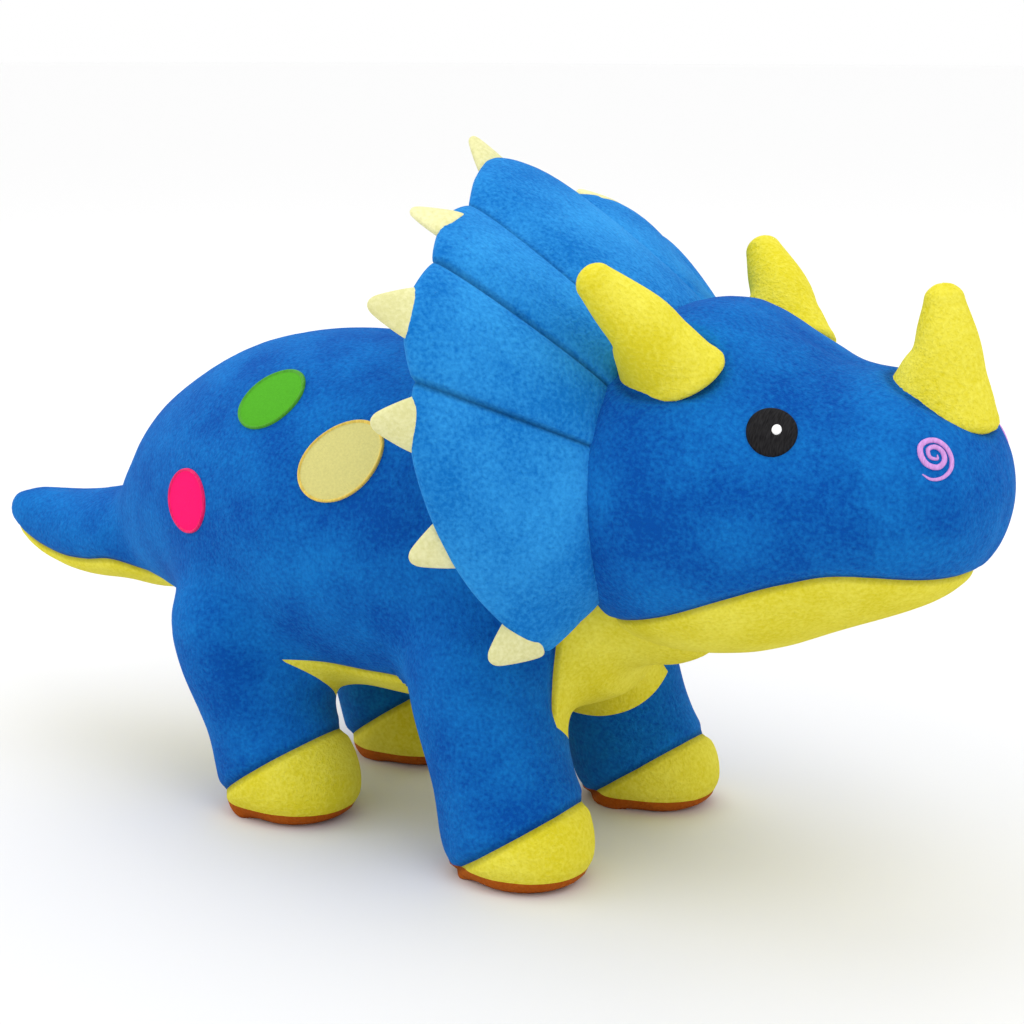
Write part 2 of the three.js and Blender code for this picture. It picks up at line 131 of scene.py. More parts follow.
# Frill rows from the crown to the cheek: root, rim and the padding's half thickness.
FRILL_ROWS = [
    ((124, 0, 256), (34, 0, 316), 10), ((125, 21, 254), (40, 21, 311), 9),
    ((126, 38, 248), (46, 39, 300), 8), ((126, 52, 240), (54, 67, 295), 8),
    ((127, 62, 231), (64, 92, 281), 8), ((127, 72, 220), (68, 115, 262), 8),
    ((128, 79, 208), (75, 123, 235), 8), ((128, 83, 190), (77, 124, 205), 9),
    ((128, 82, 170), (82, 116, 175), 11), ((127, 76, 150), (92, 104, 146), 10),
    ((125, 67, 134), (108, 90, 122), 6), ((121, 70, 124), (114, 80, 114), 1),
]
FRILL_QUILTING = (2, 4, 6)  # rows that are sewn through
FRILL_SUNK = 9  # how far the root reaches into the head
SEWN_THICKNESS = 2.6  # half thickness where the quilting is sewn through
SCALLOP = 2.2  # how far each lobe's rim stands past its quilting

# Felt spikes along the rim, as (frill row, lean upwards).
SPIKE_ROWS = ((0, 0.35), (3, -0.35), (5, -0.3), (6.6, -0.2), (8.35, -0.45), (10, -0.2))
SPIKE = {"width": 25, "length": 23, "thickness": 8, "sunk": 6}

# Horns: the middle of the base, where the horn bends, its tip, and half sizes.
BROW_HORN = {
    "base": (157, 55, 240), "bend": (151, 66, 257), "tip": (137, 77, 274),
    "long": 23, "wide": 16, "waist": 14.5, "round": 9,
}
NOSE_HORN = {
    "base": (257, 0, 228), "bend": (259, 0, 247), "tip": (257, 0, 266),
    "long": 23, "wide": 19, "waist": 14.5, "round": 9,
}

SPOTS = {
    "green": {"at": (-50, 207), "size": (36, 24), "tilt": -18},
    "straw": {"at": (1, 185), "size": (43, 33), "tilt": -30},
    "pink": {"at": (-92, 156), "size": (32, 31), "tilt": -20},
}
EYE = {"at": (207.5, 216.5), "size": (21, 22)}
GLINT = {"at": (209, 216.5), "size": (4.8, 5.4)}
NOSTRIL = {"at": (270, 208), "stitch": 1.2}
# The nostril's line of satin stitches, curling from its outside to its middle.
NOSTRIL_CURL = [
    (-3.4, -7.6), (0.8, -8.2), (5.0, -5.6), (7.0, -1.0), (5.8, 3.6), (2.4, 7.0), (-2.0, 8.0),
    (-5.8, 6.2), (-7.4, 3.0), (-6.0, -0.8), (-2.6, -3.2), (1.6, -2.6), (3.4, 0.8), (1.8, 4.2),
    (-1.8, 5.2), (-4.2, 3.0), (-2.6, 0.2), (0.4, 0.6), (0.0, 2.4),
]


# ---- What a user may change ----


def length(name, description, default):
    return FloatProperty(name=name, description=description, default=default, unit="LENGTH")


def colour(name, description, default):
    return FloatVectorProperty(
        name=name, description=description, default=default, subtype="COLOR", size=3,
        min=0, max=1,
    )


class DinosaurSizes(bpy.types.PropertyGroup):
    """Sizes of the sewing and of the pile"""

    pitch: length("Pitch", "Size of the mesh that the filling swells", 0.005)
    cloth: length("Cloth", "Thickness of a cover's cloth", 0.0016)
    seam_depth: length("Seam depth", "How far a seam pulls the cover in", 0.0022)
    seam_width: length("Seam width", "How far from a seam the cover is pulled in", 0.0034)
    pile: length("Pile", "Height of the plush pile's relief", 0.0009)
    slack: length("Slack", "Room left round the filling", 0.008)
    pressure: FloatProperty(name="Filling", description="Pressure of the filling", default=4)
    swelling: length("Swelling", "The most that the filling moves a cover", 0.006)
    fillets: IntProperty(name="Fillets", description="Rounds that fill the creases", default=38)


class DinosaurColours(bpy.types.PropertyGroup):
    """Colours of the cloths and threads"""

    blue: colour("Blue", "Body plush", (0.0006, 0.070, 0.345))
    blue_nap: colour("Blue nap", "Body plush where the pile lies over", (0.006, 0.170, 0.53))
    frill: colour("Frill blue", "Frill plush", (0.004, 0.150, 0.50))
    frill_nap: colour("Frill nap", "Frill plush where the pile lies over", (0.03, 0.30, 0.72))
    yellow: colour("Yellow", "Belly and horn plush", (0.68, 0.59, 0.022))
    yellow_nap: colour("Yellow nap", "Yellow plush where the pile lies over", (0.82, 0.75, 0.09))
    cream: colour("Cream", "Frill spikes", (0.66, 0.64, 0.30))
    cream_nap: colour("Cream nap", "Frill spikes where the pile lies over", (0.82, 0.80, 0.46))
    brown: colour("Brown", "Soles", (0.36, 0.07, 0.003))
    brown_nap: colour("Brown nap", "Soles where the pile lies over", (0.46, 0.12, 0.012))
    green: colour("Green", "Green spots", (0.075, 0.36, 0.018))
    straw: colour("Straw", "Straw spots", (0.62, 0.57, 0.20))
    pink: colour("Pink", "Pink spots", (0.90, 0.006, 0.14))
    black: colour("Black", "Eyes", (0.0035, 0.003, 0.004))
    white: colour("White", "Highlights of the eyes", (0.92, 0.92, 0.92))
    mauve: colour("Mauve", "Nostrils", (0.50, 0.24, 0.56))
    fibre: colour("Fibre", "Loose filling", (0.88, 0.88, 0.85))
    floor: colour("Floor", "Pale floor", (0.98, 0.98, 0.98))


# ---- Small tools ----


def smooth_track(rows, steps):
    """Rows of numbers resampled along a smooth curve that passes through every one of them."""
    rows = np.asarray(rows, float)
    ends = np.vstack([2 * rows[0] - rows[1], rows, 2 * rows[-1] - rows[-2]])
    spots = np.linspace(0, len(rows) - 1, (len(rows) - 1) * steps + 1)
    index = np.minimum(spots.astype(int), len(rows) - 2)
    t = (spots - index)[:, None]
    a, b, c, d = (ends[index + k] for k in range(4))
    cubic = 3 * b - a - 3 * c + d
    return 0.5 * (2 * b + (c - a) * t + (2 * a - 5 * b + 4 * c - d) * t**2 + cubic * t**3)


def circle(count):
    """Angles evenly round a circle."""
    return np.linspace(0, 2 * math.pi, count, endpoint=False)


def unit(vectors):
    """Vectors scaled to a length of one."""
    size = np.linalg.norm(vectors, axis=-1, keepdims=True)
    return vectors / np.maximum(size, 1e-12)


def line_height(line, x):
    """The height in metres of a sewing line of (x, z) millimetres at each x in metres."""
    track = smooth_track(line, 6) * MM
    return np.interp(x, track[:, 0], track[:, 1])


def points_of(mesh):
    """The mesh's vertex places as an array."""
    places = np.empty(len(mesh.vertices) * 3)
    mesh.vertices.foreach_get("co", places)
    return places.reshape(-1, 3)


def set_points(mesh, points):
    mesh.vertices.foreach_set("co", np.asarray(points).ravel())
    mesh.update()


def normals_of(mesh):
    """The mesh's vertex normals as an array."""
    normals = np.empty(len(mesh.vertices) * 3, np.float32)
    mesh.vertex_normals.foreach_get("vector", normals)
    return normals.reshape(-1, 3).astype(float)


def faces_of(mesh):
    """The mesh's faces, each as a tuple of vertex numbers."""
    return [tuple(polygon.vertices) for polygon in mesh.polygons]


def add_object(name, points, faces):
    """A new mesh object in the scene, smooth shaded."""
    mesh = bpy.data.meshes.new(name)
    mesh.from_pydata(np.asarray(points).tolist(), [], faces)
    mesh.polygons.foreach_set("use_smooth", [True] * len(mesh.polygons))
    mesh.update()
    made = bpy.data.objects.new(name, mesh)
    bpy.context.scene.collection.objects.link(made)
    return made


def shown_by(made):
    """The object as its modifiers show it."""
    return made.evaluated_get(bpy.context.evaluated_depsgraph_get())


def apply_modifiers(made):
    """Makes what the modifiers show the object's own mesh."""
    mesh = bpy.data.meshes.new_from_object(shown_by(made))
    made.modifiers.clear()
    old = made.data
    made.data = mesh
    bpy.data.meshes.remove(old)


def even_mesh(made, pitch):
    """Rebuilds the object's surface from even faces."""
    even = made.modifiers.new("even mesh", "REMESH")
    even.mode = "VOXEL"
    even.voxel_size = pitch
    apply_modifiers(made)


# ---- Closed forms ----


def tube(rings):
    """Points and faces of a closed form through rings of points, closed at its two ends."""
    count = len(rings[0])
    points = np.vstack([rings[0].mean(0), *rings, rings[-1].mean(0)])
    last = len(points) - 1
    faces = []
    for side in range(count):
        after = (side + 1) % count
        faces.append((0, 1 + after, 1 + side))
        for ring in range(len(rings) - 1):
            low, high = 1 + ring * count, 1 + (ring + 1) * count
            faces.append((low + side, low + after, high + after, high + side))
        top = last - count
        faces.append((top + side, top + after, last))
    return points, faces


def loft(sections, facing, around=28, steps=5):
    """A stuffed form through sections of (point, side, front and back radius), in millimetres."""
    rows = [(*point, side, front, back) for point, side, front, back in sections]
    track = smooth_track(rows, steps)
    spine = track[:, :3]
    radii = np.maximum(track[:, 3:], 0)
    along = unit(np.gradient(spine, axis=0))
    side = unit(np.cross(along, facing))
    front = np.cross(side, along)
    angles = circle(around)
    rings = []
    for place, radius, across, ahead in zip(spine[1:-1], radii[1:-1], side[1:-1], front[1:-1]):
        reach = np.where(np.sin(angles) > 0, radius[1], radius[2]) * np.sin(angles)
        rings.append(
            place + np.outer(radius[0] * np.cos(angles), across) + np.outer(reach, ahead)
        )
    points, faces = tube(rings)
    points[0], points[-1] = spine[0], spine[-1]
    return outward(points * MM, faces)


def outward(points, faces):
    """The same form with its faces turned to look outwards."""
    volume = 0
    for face in faces:
        a, b, c = (points[face[k]] for k in (0, 1, 2))
        volume += a @ np.cross(b, c)
        if len(face) == 4:
            volume += a @ np.cross(c, points[face[3]])
    return points, faces if volume > 0 else [face[::-1] for face in faces]


def side_view_form(table):
    """A form whose spine lies in the toy's middle plane."""
    return loft([((x, 0, z), side, up, down) for x, z, side, up, down in table], (0, 0, 1))


def leg_form(end, side):
    """A leg from the dome in its hip down to its pressed foot."""
    hip = np.array(JOINTS[f"left_{end}_leg_swing"]["pos_m"]) / MM
    x, y = FEET[end]
    foot = np.array([x, y, 0])
    dome, less = DOMES[end], FLATTER_FRONT[end]
    down = lambda share: hip + (foot - hip) * share
    up = lambda height: hip + np.array([0, 0, height])
    sections = [
        (up(dome), 0, 0, 0),
        (up(0.8 * dome), 0.6 * dome, 0.6 * dome, 0.6 * dome),
        (up(0.3 * dome), 0.95 * dome, 0.95 * dome - less, 0.95 * dome),
        (down(0.12), dome - 1, dome - 1 - less, dome - 1),
        (down(0.5), ANKLE, ANKLE + 1 - 0.5 * less, ANKLE + 1),
        (down(0.77), ANKLE, ANKLE + 6, ANKLE + 2),
        ((x, y, 15), ANKLE - 1, ANKLE + 4, ANKLE + 1),
        ((x, y, 6), 0.88 * ANKLE, 0.98 * ANKLE, 0.9 * ANKLE),
        ((x, y, 0), 0.68 * ANKLE, 0.74 * ANKLE, 0.68 * ANKLE),
        ((x, y, -PRESSED), 0, 0, 0),
    ]
    points, faces = loft(sections, (1, 0, 0))
    return outward(points * (1, side, 1), faces)


# ---- Stuffed skins ----


FILLING_FRAMES = 20  # how long the filling presses before the cover is at rest
CREASE_PULL = 0.5  # share of each crease that one round fills
EVENING = (0.5, -0.52) * 5  # shares that even the surface, each shrink made good by a swell


def stuffed_skin(name, forms, sizes):
    """One even mesh over forms that cross, filleted, then swollen by the filling."""
    points, faces = [], []
    for form_points, form_faces in forms:
        start = len(points)
        points.extend(form_points)
        faces.extend([tuple(start + v for v in face) for face in form_faces])
    skin = add_object(name, points, faces)
    even_mesh(skin, sizes.pitch)
    smooth_skin(skin.data, sizes.fillets)
    swell(skin, sizes)
    finer = skin.modifiers.new("finer", "SUBSURF")
    finer.levels = finer.render_levels = 1
    apply_modifiers(skin)
    points = points_of(skin.data)
    points[:, 2] = np.maximum(points[:, 2], 0)
    set_points(skin.data, points)
    return skin


def neighbour_average(points, edges, degree):
    """The mean place of each point's neighbours."""
    total = np.empty_like(points)
    for axis in range(3):
        column = points[:, axis]
        total[:, axis] = np.bincount(edges[:, 0], column[edges[:, 1]], len(points))
        total[:, axis] += np.bincount(edges[:, 1], column[edges[:, 0]], len(points))
    return total / degree[:, None]


def smooth_skin(mesh, rounds):
    """Fills creases where forms cross, then evens the surface without shrinking it."""
    edges = np.empty(len(mesh.edges) * 2, int)
    mesh.edges.foreach_get("vertices", edges)
    edges = edges.reshape(-1, 2)
    degree = np.bincount(edges.ravel(), minlength=len(mesh.vertices))
    for _ in range(rounds):
        points, normals = points_of(mesh), normals_of(mesh)
        pull = neighbour_average(points, edges, degree) - points
        out = np.maximum((pull * normals).sum(1), 0)
        set_points(mesh, points + CREASE_PULL * out[:, None] * normals)
    points = points_of(mesh)
    for share in EVENING:
        points = points + share * (neighbour_average(points, edges, degree) - points)
    set_points(mesh, points)


def swell(skin, sizes):
    """Lets the filling's pressure swell a cover as cloth, up to the size given."""
    before = points_of(skin.data)
    cloth = skin.modifiers.new("filling", "CLOTH")
    settings = cloth.settings
    settings.use_pressure = True
    settings.uniform_pressure_force = sizes.pressure
    settings.effector_weights.gravity = 0
    cloth.collision_settings.use_collision = False
    cloth.point_cache.frame_start = 1
    cloth.point_cache.frame_end = FILLING_FRAMES
    for number in range(1, FILLING_FRAMES + 1):
        bpy.context.scene.frame_set(number)
    move = points_of(shown_by(skin).data) - before
    skin.modifiers.clear()
    bpy.context.scene.frame_set(1)
    far = np.linalg.norm(move, axis=1, keepdims=True)
    set_points(skin.data, before + move * np.minimum(1, sizes.swelling / np.maximum(far, 1e-9)))


# ---- Seams and panels ----


NEAR = 0.3  # share of an edge within which its vertex moves onto the seam
PROBE = 0.0005  # step in metres over which a field's slope is measured


def cut_along(mesh, field, where=None):
    """Cuts the mesh's faces along the line on which a field of places is zero."""
    work = bmesh.new()
    work.from_mesh(mesh)
    work.verts.index_update()
    points = points_of(mesh)
    values = field(points)
    if where is not None:
        values = np.where(where(points), values, np.nan)
    seam = {}
    crossing = []
    for edge in work.edges:
        a, b = (v.index for v in edge.verts)
        if values[a] * values[b] < 0:
            crossing.append(edge)
            share = values[a] / (values[a] - values[b])
            for vert, other, part in ((0, 1, share), (1, 0, 1 - share)):
                near, far = edge.verts[vert], edge.verts[other]
                if part < NEAR and part < seam.get(near, (1,))[0]:
                    seam[near] = (part, near.co.lerp(far.co, part))
    for vert, (_, place) in seam.items():
        vert.co = place
        values[vert.index] = 0
    on_line = list(seam)
    for edge in crossing:
        a, b = edge.verts
        low, high = values[a.index], values[b.index]
        if low * high < 0:
            on_line.append(bmesh.utils.edge_split(edge, a, low / (low - high))[1])
    bmesh.ops.connect_verts(work, verts=on_line)
    work.to_mesh(mesh)
    work.free()
    mesh.update()


def off_seam(points, normals, field):
    """Distance along the surface from the line on which a field of places is zero."""
    slope = np.empty_like(points)
    for axis in range(3):
        shift = np.zeros(3)
        shift[axis] = PROBE
        slope[:, axis] = (field(points + shift) - field(points - shift)) / (2 * PROBE)
    slope -= (slope * normals).sum(1)[:, None] * normals
    return np.abs(field(points)) / np.maximum(np.linalg.norm(slope, axis=1), 1e-3)


def pull_seams(mesh, seams, sizes):
    """Pulls the cover in along its seams and notes how near each point is to one."""
    points, normals = points_of(mesh), normals_of(mesh)
    pulled = np.zeros(len(points))
    for field, strength in seams:
        away = off_seam(points, normals, field) / sizes.seam_width
        share = strength(points) if callable(strength) else strength
        pulled = np.maximum(pulled, share * np.exp(-(away**2)))
    set_points(mesh, points - normals * (sizes.seam_depth * pulled)[:, None])
    return pulled


class Skin:
    """A finished skin, ready to be parted into sewn panels."""

    def __init__(self, made, pulled):
        mesh = made.data
        self.points = points_of(mesh)
        self.normals = normals_of(mesh)
        self.pulled = pulled
        self.faces = faces_of(mesh)
        self.tree = BVHTree.FromPolygons(self.points.tolist(), self.faces)
        bpy.data.objects.remove(made)


def panel(region, skin, chosen, finish):
    """One sewn panel of a skin: its outside, its inside and the turned edge between them."""
    faces = [skin.faces[i] for i in chosen]
    used = sorted({v for face in faces for v in face})
    place = {v: i for i, v in enumerate(used)}
    outside = [tuple(place[v] for v in face) for face in faces]
    count = len(used)
    inside = [tuple(count + v for v in reversed(face)) for face in outside]
    directed = {(face[k - 1], face[k]) for face in outside for k in range(len(face))}
    edge = [(a, b) for a, b in directed if (b, a) not in directed]
    turned = [(b, a, count + a, count + b) for a, b in sorted(edge)]
    outer, normals = skin.points[used], skin.normals[used]
    points = np.vstack([outer, outer - normals * bpy.context.scene.dinosaur_sizes.cloth])
    made = add_object(f"{region}_plush", points, outside + inside + turned)
    shown = np.vstack([normals, -normals])
    corners = [shown[v] for face in outside + inside for v in face]
    for a, b, c, d in turned:
        flat = unit(np.cross(points[c] - points[a], points[d] - points[b]))
        corners.extend([flat] * 4)
    made.data.normals_split_custom_set(np.array(corners).tolist())
    # The seam attribute sets how much painted shade darkens the cloth at each seam.
    depth = made.data.attributes.new("seam", "FLOAT", "POINT")
    depth.data.foreach_set("value", np.tile(skin.pulled[used], 2).astype(np.float32))
    made.data.materials.append(materials()[finish])
    return finish_piece(made, [region] if region in frame["nodes"] else [])


def finish_piece(made, nodes):
    """Hides the frame nodes that a stuffed piece stands for."""
    if nodes:
        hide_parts(*nodes)
    return made


def closed_piece(name, form, finish, node):
    """A stuffed piece in one finish, made from the points and faces of a closed form."""
    made = add_object(name, *form)
    made.data.materials.append(materials()[finish])
    return finish_piece(made, [node])


# ---- Materials ----


class Nodes:
    """A short way to add and link a material's nodes."""

    def __init__(self, name):
        self.material = bpy.data.materials.new(name)
        self.material.use_nodes = True
        self.tree = self.material.node_tree
        self.shader = self.tree.nodes["Principled BSDF"]
        self.places = self.add("ShaderNodeTexCoord").outputs["Object"]

    def add(self, kind, **values):
        node = self.tree.nodes.new(kind)
        for key, value in values.items():
            setattr(node, key, value)
        return node

    def link(self, source, target):
        self.tree.links.new(source, target)

    def noise(self, scale, detail, stretch=None):
        node = self.add("ShaderNodeTexNoise")
        node.inputs["Scale"].default_value = scale
        node.inputs["Detail"].default_value = detail
        self.link(self.stretched(stretch), node.inputs["Vector"])
        return node.outputs["Fac"]

    def stretched(self, stretch):
        if stretch is None:
            return self.places
        mapping = self.add("ShaderNodeMapping")
        mapping.inputs["Scale"].default_value = stretch
        self.link(self.places, mapping.inputs["Vector"])
        return mapping.outputs["Vector"]

    def spread(self, value, low, high):
        """A value stretched so that low becomes 0 and high becomes 1."""
        node = self.add("ShaderNodeMapRange")
        node.inputs["From Min"].default_value = low
        node.inputs["From Max"].default_value = high
        self.link(value, node.inputs["Value"])
        return node.outputs["Result"]

    def sum(self, first, second, share):
        """first plus share times second."""
        node = self.add("ShaderNodeMath", operation="MULTIPLY_ADD")
        self.link(second, node.inputs[0])
        node.inputs[1].default_value = share
        self.link(first, node.inputs[2])
        return node.outputs["Value"]

    def mix(self, amount, first, second):
        node = self.add("ShaderNodeMix", data_type="RGBA")
        self.link(amount, node.inputs["Factor"])
        for value, socket in ((first, node.inputs[6]), (second, node.inputs[7])):
            if isinstance(value, bpy.types.NodeSocket):
                self.link(value, socket)
            else:
                socket.default_value = (*value, 1)
        return node.outputs[2]

    def bump(self, height, distance, strength):
        node = self.add("ShaderNodeBump")
        node.inputs["Distance"].default_value = distance
        node.inputs["Strength"].default_value = strength
        self.link(height, node.inputs["Height"])
        self.link(node.outputs["Normal"], self.shader.inputs["Normal"])

    def paint(self, cloth):
        self.link(cloth, self.shader.inputs["Base Color"])

    def set(self, **values):
        for key, value in values.items():
            self.shader.inputs[key.replace("_", " ")].default_value = value

    def seam_shade(self, cloth):
        """Darkens the cloth in the depth of a seam with painted shade."""
        depth = self.add("ShaderNodeAttribute", attribute_name="seam").outputs["Fac"]
        return self.mix(self.spread(depth, 0.45, 1.6), cloth, (0.0, 0.0, 0.0))


def plush(name, base, nap, pile, sheen=0.3):
    """Short plush: fine pile, patches where it lies over, and a soft sheen."""
    made = Nodes(name)
    patches = made.noise(30, 3)
    tufts = made.noise(560, 3)
    lie = made.spread(made.sum(patches, tufts, 0.9), 0.72, 1.25)
    cloth = made.mix(lie, tuple(base), tuple(nap))
    # Painted shade in the seams.
    made.paint(made.seam_shade(cloth))
    relief = made.sum(made.sum(tufts, made.noise(1100, 1), 0.6), patches, 1.2)
    made.bump(relief, pile, 0.8)
    made.set(Roughness=0.92, Sheen_Weight=sheen, Sheen_Roughness=0.45)
    made.set(Sheen_Tint=(*[0.05 + c for c in nap], 1))
    made.set(Specular_IOR_Level=0.08)
    return made.material


def applique(name, base):
    """Flat felted cloth with a fine, even nap."""
    made = Nodes(name)
    nap = made.spread(made.noise(900, 2), 0.3, 0.75)
    lighter = tuple(min(1, c * 1.12) for c in base)
    cloth = made.mix(nap, tuple(base), lighter)
    made.paint(cloth)
    made.bump(made.noise(1400, 2), 0.0004, 0.7)
    made.set(Roughness=0.9, Specular_IOR_Level=0.1)
    return made.material


def thread(name, base, turns=2200, roughness=0.42):
    """Satin stitches that lie side by side."""
    made = Nodes(name)
    rows = made.noise(1, 1, stretch=(turns, turns * 0.08, turns * 0.16))
    shine = made.spread(rows, 0.25, 0.75)
    lighter = tuple(min(1, c * 1.35 + 0.015) for c in base)
    made.paint(made.mix(shine, tuple(base), lighter))
    made.bump(rows, 0.0003, 0.8)
    made.set(Roughness=roughness, Specular_IOR_Level=0.1)
    return made.material


def loose_fibre(name, base):
    """Carded polyester: tangled pale strands."""
    made = Nodes(name)
    strands = made.noise(160, 5, stretch=(1, 3, 2))
    darker = tuple(0.8 * c for c in base)
    cloth = made.mix(made.spread(strands, 0.3, 0.7), darker, tuple(base))
    made.paint(cloth)
    made.bump(strands, 0.002, 0.8)
    made.set(Roughness=0.9, Sheen_Weight=0.3)
    return made.material


FINISHES = {}


def materials():
    """The toy's finishes by name, made once."""
    if FINISHES:
        return FINISHES
    colours = bpy.context.scene.dinosaur_colours
    pile = bpy.context.scene.dinosaur_sizes.pile
    made = [
        plush("blue_plush", colours.blue, colours.blue_nap, pile),
        plush("frill_plush", colours.frill, colours.frill_nap, pile),
        plush("yellow_plush", colours.yellow, colours.yellow_nap, pile, 0.2),
        plush("cream_felt", colours.cream, colours.cream_nap, pile * 0.6, 0.15),
        plush("brown_plush", colours.brown, colours.brown_nap, pile, 0.1),
        thread("black_thread", colours.black, roughness=0.7),
        thread("white_thread", colours.white),
        thread("mauve_thread", colours.mauve),
        thread("green_edge", [0.75 * c for c in colours.green], 1400),
        thread("straw_edge", (0.62, 0.45, 0.08), 1400),
        thread("pink_edge", [0.7 * c for c in colours.pink], 1400),
        loose_fibre("fibre_fill", colours.fibre),
    ]
    made += [applique(f"{hue}_applique", getattr(colours, hue)) for hue in SPOTS]
    FINISHES.update((material.name.split(".")[0], material) for material in made)
    return FINISHES


# ---- Stage ----


class DINOSAUR_OT_stage(bpy.types.Operator):
    """Set up the camera, the soft studio light and the pale floor"""

    bl_idname = "dinosaur.stage"
    bl_label = "Camera, light and floor"

    def execute(self, context):
        target = Vector((0.045, 0, 0.153))
        add_camera(context.scene, target, turn=33, rise=12.5, distance=1.0)
        add_light("key", (1.1, -0.5, 1.9), target, 1.3, 9)
        add_light("rear", (-1.7, -0.9, 1.3), target, 1.4, 8)
        add_light("top", (-0.3, 0.4, 2.0), target, 1.6, 9)
        world = bpy.data.worlds.new("studio")
        world.use_nodes = True
        sky = world.node_tree.nodes["Background"].inputs
        sky["Color"].default_value = (1, 1, 1, 1)
        sky["Strength"].default_value = 1.0
        context.scene.world = world
        context.scene.view_settings.view_transform = "Standard"
        add_floor()
        return {"FINISHED"}


def add_camera(scene, target, turn, rise, distance):
    """A camera turned from the toy's right side towards its nose and raised, in degrees."""
    turn, rise = math.radians(turn), math.radians(rise)
    level = Vector((math.sin(turn), -math.cos(turn), 0))
    away = level * math.cos(rise) + Vector((0, 0, math.sin(rise)))
    lens = bpy.data.cameras.new("camera")
    lens.lens = 73.8
    lens.clip_end = 50
    camera = bpy.data.objects.new("camera", lens)
    scene.collection.objects.link(camera)
    camera.location = target + away * distance
    camera.rotation_euler = (-away).to_track_quat("-Z", "Y").to_euler()
    scene.camera = camera


def add_light(name, place, target, size, power):
    lamp = bpy.data.lights.new(name, "AREA")
    lamp.size = size
    lamp.energy = power
    made = bpy.data.objects.new(name, lamp)
    bpy.context.scene.collection.objects.link(made)
    made.location = place
    made.rotation_euler = (target - Vector(place)).to_track_quat("-Z", "Y").to_euler()


def add_floor():
    reach = 40.0
    corners = [(-reach, -reach, 0), (reach, -reach, 0), (reach, reach, 0), (-reach, reach, 0)]
    floor = add_object("floor", corners, [(0, 1, 2, 3)])
    made = Nodes("floor_paper")
    away = made.add("ShaderNodeVectorMath", operation="LENGTH")
    made.link(made.places, away.inputs[0])
    # Painted shade and light: the floor is darker near the toy and paler far off, fading into the
    # white sky.
    far = made.spread(made.sum(away.outputs["Value"], made.noise(60, 4), 0.02), 0.3, 1.6)
    pale = tuple(bpy.context.scene.dinosaur_colours.floor)
    made.paint(made.mix(far, tuple(0.8 * c for c in pale), pale))
    made.set(Roughness=0.9, Specular_IOR_Level=0.1)
    floor.data.materials.append(made.material)
    return floor


# ---- Body ----


BETWEEN_LEGS = (FEET["fore"][0] + FEET["hind"][0]) / 2 * MM
RUN_ON = 0.004  # how far the middle seam's cut runs on past the seam it meets
LEG_FADE = 0.006  # over how much of the body a leg's seams fade


def leg_side(points):
    """Above zero on the feet's side of the slanted planes where the legs leave the body."""
    slanted = abs(LEG_SLANT.y) * np.abs(points[:, 1]) + LEG_SLANT.z * points[:, 2]
    return slanted - LEG_BEND[0]


def above_belly(points):
    """Above zero over the belly panel's seam and, between the fore legs, outside of it."""
    over = points[:, 2] - line_height(UNDER_LINE, points[:, 0])
    outside = np.abs(points[:, 1]) - line_height(BELLY_WIDTH, points[:, 0])
    return np.maximum(over, outside)


def above_toe_cap(points):
    """Above zero over the sloping seams of the toe caps."""
    height = np.empty(len(points))
    fore = points[:, 0] > BETWEEN_LEGS
    for end, ahead in (("fore", fore), ("hind", ~fore)):
        cap = TOE_CAPS[end]
        slope = cap["rise"] / (cap["toe"] - cap["heel"])
        from_heel = points[ahead, 0] - (FEET[end][0] + cap["heel"]) * MM
        height[ahead] = SOLE_HEIGHT * MM + slope * from_heel
    return points[:, 2] - height


def above_sole(points):
    return points[:, 2] - SOLE_HEIGHT * MM


def ahead_of(x):
    return lambda points: points[:, 0] - x


def across_middle(points):
    return points[:, 1]


def over_belly(points):
    """Whether places stand over the belly panel, where the back is sewn along its middle."""
    return points[:, 2] > line_height(UNDER_LINE, points[:, 0]) - RUN_ON


def off_legs(points):
    """One on the body and fading to nothing on the legs."""
    return np.clip(-leg_side(points) / LEG_FADE, 0, 1)


def on_legs(points):
    return 1 - off_legs(points)


def body_region(place):
    """The name of the panel that a place on the body's skin belongs to."""
    point = np.array([place])
    x, y, z = place
    side = "left" if y > 0 else "right"
    if leg_side(point)[0] > 0:
        leg = f"{side}_{'fore' if x > BETWEEN_LEGS else 'hind'}_leg"
        if z < SOLE_HEIGHT * MM:
            return f"{leg}_sole"
        return f"{leg}_toe_cap" if above_toe_cap(point)[0] < 0 else f"{leg}_cover"
    below = above_belly(point)[0] < 0
    if x < TAIL_BEND[0]:
        return "tail_under_panel" if below else "tail_cover"
    if x > NECK_BEND[1]:
        return "throat_panel" if below else "neck_sleeve"
    return "belly_panel" if below else f"{side}_side_panel"


def body_finish(region):
    """The finish of a body panel."""
    if region.endswith("_sole"):
        return "brown_plush"
    yellow = ("belly_panel", "throat_panel", "tail_under_panel")
    return "yellow_plush" if region in yellow or region.endswith("toe_cap") else "blue_plush"


def join_to_body(made, region):
    """Bakes a body panel's place into its mesh."""
    if "_leg_" in region:
        leg = region[: region.index("_leg_") + 4]
        slant = LEG_SLANT.copy()
        slant.y *= SIDES[leg.split("_")[0]]
        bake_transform(made)
    elif region.startswith("tail"):
        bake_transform(made)
    elif region in ("neck_sleeve", "throat_panel"):
        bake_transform(made)
    else:
        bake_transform(made)


def faces_by_region(mesh, region_of):
    """The numbers of the faces in each region, told before the seams are pulled in."""
    regions = {}
    for polygon in mesh.polygons:
        regions.setdefault(region_of(np.array(polygon.center)), []).append(polygon.index)
    return regions


